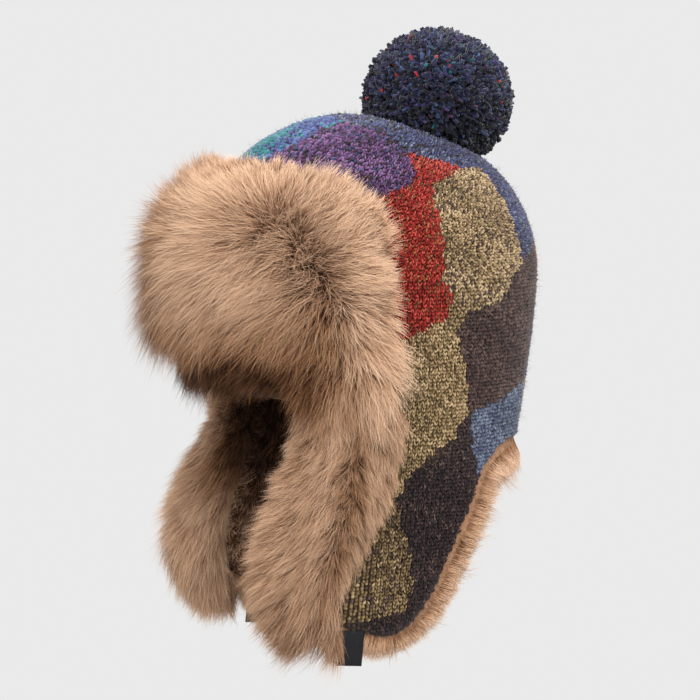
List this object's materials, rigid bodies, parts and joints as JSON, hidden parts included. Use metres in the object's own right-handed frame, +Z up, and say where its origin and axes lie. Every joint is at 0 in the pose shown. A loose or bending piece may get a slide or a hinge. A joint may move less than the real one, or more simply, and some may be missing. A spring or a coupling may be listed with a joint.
{
  "type": "knit ushanka",
  "caption": "Patchwork knit trapper hat with a turned-up faux-fur visor, fur-edged ear flaps, a fur-lined rim and a round yarn pompom.",
  "frame": {"origin": "centre of the head opening at brow level, where the hat sits on a head", "axes": "+Z up through the crown, -Y out of the brow, +X towards the wearer's left ear"},
  "size_m": [0.2256, 0.258, 0.3823],
  "materials": {
    "patchwork_knit": "heathered wool stockinette in patches of blue, purple, red, gold, denim and dark brown",
    "fleece": "short dark brown fleece",
    "faux_fur": "deep tan pile with darker roots and pale tips",
    "pompom_yarn": "cut navy yarn with flecks of teal, red, purple and light blue",
    "woven_tape": "plain black woven tape with a slight satin gloss"
  },
  "bodies": {
    "root": {"knit_crown": "patchwork_knit", "crown_lining": "fleece", "visor_fur": "faux_fur", "flap_trim_fur_left": "faux_fur", "flap_trim_fur_right": "faux_fur", "rim_lining_fur": "faux_fur", "pompom": "pompom_yarn", "flap_tab_left": "woven_tape", "flap_tab_right": "woven_tape"}
  },
  "joints": []
}
